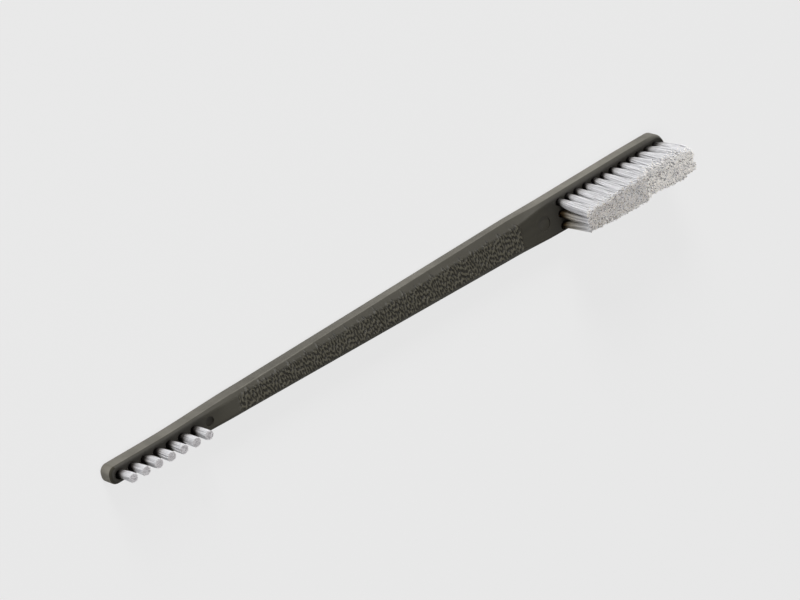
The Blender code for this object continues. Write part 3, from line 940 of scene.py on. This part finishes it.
def make_tufts(large_nylon, shaded_inner_nylon, small_nylon, metal):
    rng = np.random.default_rng(TUFT_SEED)
    # Rows behind the outer row take the nylon copy with painted shadow
    for row, column, x, y in large_holes():
        make_tuft(
            f"wide_tuft_r{row}_c{column:02d}", f"large_tuft_r{row}_c{column:02d}", (x, y),
            lean_of(column, row), large_kind(column, row), rng,
            large_nylon if row == 1 else shaded_inner_nylon, metal,
        )
    for index in range(1, SMALL_TUFTS + 1):
        make_tuft(
            f"narrow_tuft_{index}", f"small_tuft_{index}", (small_x(index), 0.0),
            small_lean(index), small_kind(), rng, small_nylon, metal,
        )


# Materials


def new_material(name):
    material = bpy.data.materials.new(name)
    material.use_nodes = True
    tree = material.node_tree
    return material, tree, tree.nodes["Principled BSDF"]


def add_noise(tree, scale, detail, stretch=(1.0, 1.0, 1.0)):
    """Noise in the part's own frame. The scale is in features a metre."""
    place = tree.nodes.new("ShaderNodeTexCoord")
    mapping = tree.nodes.new("ShaderNodeMapping")
    mapping.inputs["Scale"].default_value = stretch
    noise = tree.nodes.new("ShaderNodeTexNoise")
    noise.inputs["Scale"].default_value = scale
    noise.inputs["Detail"].default_value = detail
    tree.links.new(place.outputs["Object"], mapping.inputs["Vector"])
    tree.links.new(mapping.outputs["Vector"], noise.inputs["Vector"])
    return noise.outputs["Fac"]


def add_ramp(tree, source, stops):
    ramp = tree.nodes.new("ShaderNodeValToRGB")
    elements = ramp.color_ramp.elements
    while len(elements) < len(stops):
        elements.new(0.5)
    for element, (position, colour) in zip(elements, stops):
        element.position = position
        element.color = (*colour, 1.0)
    tree.links.new(source, ramp.inputs["Fac"])
    return ramp.outputs["Color"]


def add_range(tree, source, span, target):
    """The source with its span of values stretched onto the target's."""
    node = tree.nodes.new("ShaderNodeMapRange")
    node.inputs["From Min"].default_value = span[0]
    node.inputs["From Max"].default_value = span[1]
    node.inputs["To Min"].default_value = target[0]
    node.inputs["To Max"].default_value = target[1]
    tree.links.new(source, node.inputs["Value"])
    return node.outputs["Result"]


def add_mix(tree, factor, first, second, blend_type="MIX"):
    node = tree.nodes.new("ShaderNodeMix")
    node.data_type = "RGBA"
    node.blend_type = blend_type
    for socket, value in (("Factor", factor), ("A", first), ("B", second)):
        target = [s for s in node.inputs if s.name == socket and s.enabled][0]
        if isinstance(value, bpy.types.NodeSocket):
            tree.links.new(value, target)
        elif socket == "Factor":
            target.default_value = value
        else:
            target.default_value = (*value, 1.0)
    return [s for s in node.outputs if s.enabled][0]


def add_product(tree, first, second):
    node = tree.nodes.new("ShaderNodeMath")
    node.operation = "MULTIPLY"
    tree.links.new(first, node.inputs[0])
    tree.links.new(second, node.inputs[1])
    return node.outputs[0]


def add_height(tree):
    """Height in the part's own frame."""
    place = tree.nodes.new("ShaderNodeTexCoord")
    parts = tree.nodes.new("ShaderNodeSeparateXYZ")
    tree.links.new(place.outputs["Object"], parts.inputs["Vector"])
    return parts.outputs["Z"]


def add_attribute(tree, name):
    node = tree.nodes.new("ShaderNodeAttribute")
    node.attribute_name = name
    return node.outputs["Fac"]


def add_bump(tree, height, strength, distance):
    bump = tree.nodes.new("ShaderNodeBump")
    bump.inputs["Strength"].default_value = strength
    bump.inputs["Distance"].default_value = distance
    tree.links.new(height, bump.inputs["Height"])
    return bump.outputs["Normal"]


def handle_material():
    """Dark olive-grey moulded plastic: satin, slightly mottled, paler at worn edges and where
    light is painted, darker where shade is painted.
    """
    material, tree, shader = new_material("moulded_plastic")
    colour = add_ramp(tree, add_noise(tree, MOTTLE_SCALE, detail=3.0), PLASTIC_STOPS)
    streaks = add_noise(tree, STREAK_SCALE, detail=2.0, stretch=STREAK_STRETCH)
    streaked = add_range(tree, streaks, NOISE_SPAN, (0.0, STREAK_SHARE))
    colour = add_mix(tree, streaked, colour, STREAK_COLOUR)
    # Worn edges, and painted light on the walls, ends, shoulders and the front beside the neck
    wear_and_light = add_range(tree, add_attribute(tree, "wear_and_light"), WEAR_AND_LIGHT_SPAN, (0.0, RUBBED_AND_LIT_SHARE))
    patches = add_noise(tree, PATCH_SCALE, detail=2.0)
    wear_and_light = add_product(tree, wear_and_light, add_range(tree, patches, PATCH_SPAN, PATCH_WEAR_AND_LIGHT))
    colour = add_mix(tree, wear_and_light, colour, RUBBED_AND_LIT_COLOUR)
    # Painted highlight on the grain's raised tops
    relief = add_range(tree, add_attribute(tree, "relief"), RELIEF_SPAN, (0.0, 1.0))
    colour = add_mix(tree, relief, colour, RAISED_HIGHLIGHT_COLOUR)
    # Painted shade round the holes, in the dents and in the grain's valleys
    painted_shade = add_range(tree, add_attribute(tree, "painted_shade"), (0.0, 1.0), (0.0, PAINTED_SHADE_SHARE))
    colour = add_mix(tree, painted_shade, colour, PAINTED_SHADE_COLOUR)
    tree.links.new(colour, shader.inputs["Base Color"])
    satin = add_noise(tree, SATIN_SCALE, detail=3.0)
    gloss = add_range(tree, satin, NOISE_SPAN, SATIN_ROUGHNESS)
    rough = add_mix(tree, add_attribute(tree, "dull"), gloss, DULL_ROUGHNESS)
    tree.links.new(rough, shader.inputs["Roughness"])
    pores = add_noise(tree, PORE_SCALE, detail=2.0)
    tree.links.new(add_bump(tree, pores, PORE_STRENGTH, PORE_DEPTH), shader.inputs["Normal"])
    shader.inputs["Specular IOR Level"].default_value = PLASTIC_SPECULAR
    return material


def nylon_material(name, shade_clear, shade_stops, shade_warmth, scatter, ends):
    """White nylon filament: slightly see-through and warmer at the cut ends, with painted shade
    that darkens it towards its hole."""
    material, tree, shader = new_material(name)
    strands = add_noise(tree, STRAND_SCALE, detail=1.0, stretch=STRAND_STRETCH)
    colour = add_ramp(tree, strands, STRAND_STOPS)
    tone = add_attribute(tree, "tone")
    shaded = add_range(tree, tone, (0.0, 1.0), (SHADED_SHARE, 0.0))
    colour = add_mix(tree, shaded, colour, SHADED_COLOUR)
    colour = add_mix(tree, add_attribute(tree, "cut"), colour, add_ramp(tree, tone, ends))
    # Painted shade: darker towards the hole
    height = add_range(tree, add_height(tree), (THICKNESS, THICKNESS + shade_clear), (0.0, 1.0))
    shade = [(place, tuple(level**power for power in shade_warmth)) for place, level in shade_stops]
    colour = add_mix(tree, 1.0, colour, add_ramp(tree, height, shade), "MULTIPLY")
    tree.links.new(colour, shader.inputs["Base Color"])
    shine = add_noise(tree, SHINE_SCALE, detail=1.0, stretch=SHINE_STRETCH)
    rough = add_range(tree, shine, NOISE_SPAN, SHINE_ROUGHNESS)
    tree.links.new(rough, shader.inputs["Roughness"])
    scratches = add_noise(tree, SCRATCH_SCALE, detail=1.0, stretch=SCRATCH_STRETCH)
    bump = add_bump(tree, scratches, SCRATCH_STRENGTH, SCRATCH_DEPTH)
    tree.links.new(bump, shader.inputs["Normal"])
    shader.inputs["Subsurface Weight"].default_value = scatter
    shader.inputs["Subsurface Radius"].default_value = (1.0, 1.0, 1.0)
    shader.inputs["Subsurface Scale"].default_value = SCATTER_DISTANCE
    return material


def metal_material():
    """Flat steel wire, lightly brushed."""
    material, tree, shader = new_material("anchor_wire")
    brushed = add_noise(tree, STEEL_SCALE, detail=2.0, stretch=STEEL_STRETCH)
    tree.links.new(add_ramp(tree, brushed, STEEL_STOPS), shader.inputs["Base Color"])
    rough = add_range(tree, brushed, NOISE_SPAN, STEEL_ROUGHNESS)
    tree.links.new(rough, shader.inputs["Roughness"])
    shader.inputs["Metallic"].default_value = 1.0
    return material


def seen_share(tree):
    """1 for rays from the camera, from gloss and through glass, and 0 for all others."""
    path = tree.nodes.new("ShaderNodeLightPath")
    total = None
    for name in ("Is Camera Ray", "Is Glossy Ray", "Is Transmission Ray"):
        if total is None:
            total = path.outputs[name]
            continue
        node = tree.nodes.new("ShaderNodeMath")
        node.operation = "MAXIMUM"
        tree.links.new(total, node.inputs[0])
        tree.links.new(path.outputs[name], node.inputs[1])
        total = node.outputs[0]
    return total


def floor_material():
    """Pale floor: it looks like the background, and still darkens a little in the shadow."""
    material, tree, shader = new_material("pale_floor")
    shader.inputs["Base Color"].default_value = (*FLOOR_COLOUR, 1.0)
    shader.inputs["Roughness"].default_value = 1.0
    shader.inputs["Specular IOR Level"].default_value = 0.0
    glow = tree.nodes.new("ShaderNodeEmission")
    glow.inputs["Color"].default_value = (FLOOR_GLOW, FLOOR_GLOW, FLOOR_GLOW, 1.0)
    seen = seen_share(tree)
    share = tree.nodes.new("ShaderNodeMath")
    share.operation = "MULTIPLY"
    share.inputs[1].default_value = 1.0 - FLOOR_SHADOW_SHARE
    tree.links.new(seen, share.inputs[0])
    mix = tree.nodes.new("ShaderNodeMixShader")
    tree.links.new(share.outputs[0], mix.inputs["Fac"])
    tree.links.new(shader.outputs["BSDF"], mix.inputs[1])
    tree.links.new(glow.outputs["Emission"], mix.inputs[2])
    output = tree.nodes["Material Output"]
    tree.links.new(mix.outputs["Shader"], output.inputs["Surface"])
    return material


# Studio


def make_floor():
    half = FLOOR_SIZE / 2
    mesh = bpy.data.meshes.new("floor")
    corners = [(-half, -half, 0.0), (half, -half, 0.0), (half, half, 0.0), (-half, half, 0.0)]
    mesh.from_pydata(corners, [], [(0, 1, 2, 3)])
    mesh.materials.append(floor_material())
    floor = bpy.data.objects.new("floor", mesh)
    bpy.context.scene.collection.objects.link(floor)


def add_light(name, direction, size, power):
    data = bpy.data.lights.new(name, "AREA")
    data.shape = "DISK"
    data.size = size
    data.energy = power
    lamp = bpy.data.objects.new(name, data)
    away = Vector(direction).normalized()
    lamp.location = away * LIGHT_DISTANCE
    lamp.rotation_euler = (-away).to_track_quat("-Z", "Y").to_euler()
    bpy.context.scene.collection.objects.link(lamp)


def make_world():
    """Pale at the horizon and dimmer overhead, as in a light tent."""
    world = bpy.data.worlds.new("studio")
    bpy.context.scene.world = world
    world.use_nodes = True
    tree = world.node_tree
    place = tree.nodes.new("ShaderNodeTexCoord")
    parts = tree.nodes.new("ShaderNodeSeparateXYZ")
    tree.links.new(place.outputs["Generated"], parts.inputs["Vector"])
    stops = [(position, (level, level, level)) for position, level in WORLD_STOPS]
    colour = add_ramp(tree, parts.outputs["Z"], stops)
    tree.links.new(colour, tree.nodes["Background"].inputs["Color"])


def make_camera():
    data = bpy.data.cameras.new("camera")
    data.sensor_width = CAMERA_SENSOR
    data.lens = CAMERA_LENS
    camera = bpy.data.objects.new("camera", data)
    place = CAMERA_CENTRE + CAMERA_BACK * CAMERA_DISTANCE
    place += CAMERA_RIGHT * CAMERA_ASIDE + CAMERA_UP * CAMERA_ABOVE
    turn = Matrix((CAMERA_RIGHT, CAMERA_UP, CAMERA_BACK)).transposed()
    camera.matrix_world = Matrix.Translation(place) @ turn.to_4x4()
    bpy.context.scene.collection.objects.link(camera)
    bpy.context.scene.camera = camera


def main():
    large_nylon = nylon_material(
        "white_nylon", LARGE_ROOT_SHADE_CLEAR, LARGE_ROOT_SHADE_STOPS, OUTER_SHADE_WARMTH, LARGE_SCATTER,
        WARM_ENDS,
    )
    # A darker, warmer copy for the rows behind: painted shadow of the outer row
    shaded_inner_nylon = nylon_material(
        "shaded_inner_white_nylon", INNER_ROOT_SHADE_CLEAR, INNER_ROOT_SHADE_STOPS, INNER_SHADE_WARMTH, INNER_SCATTER,
        WARM_ENDS,
    )
    small_nylon = nylon_material(
        "short_white_nylon", SMALL_ROOT_SHADE_CLEAR, SMALL_ROOT_SHADE_STOPS, OUTER_SHADE_WARMTH, SMALL_SCATTER,
        COOL_ENDS,
    )
    metal = metal_material()
    make_handle(handle_material())
    make_tufts(large_nylon, shaded_inner_nylon, small_nylon, metal)
    make_floor()
    make_world()
    add_light("key", KEY_DIRECTION, KEY_SIZE, KEY_POWER)
    add_light("top", TOP_DIRECTION, TOP_SIZE, TOP_POWER)
    make_camera()
    bpy.context.scene.view_settings.view_transform = "Standard"


main()
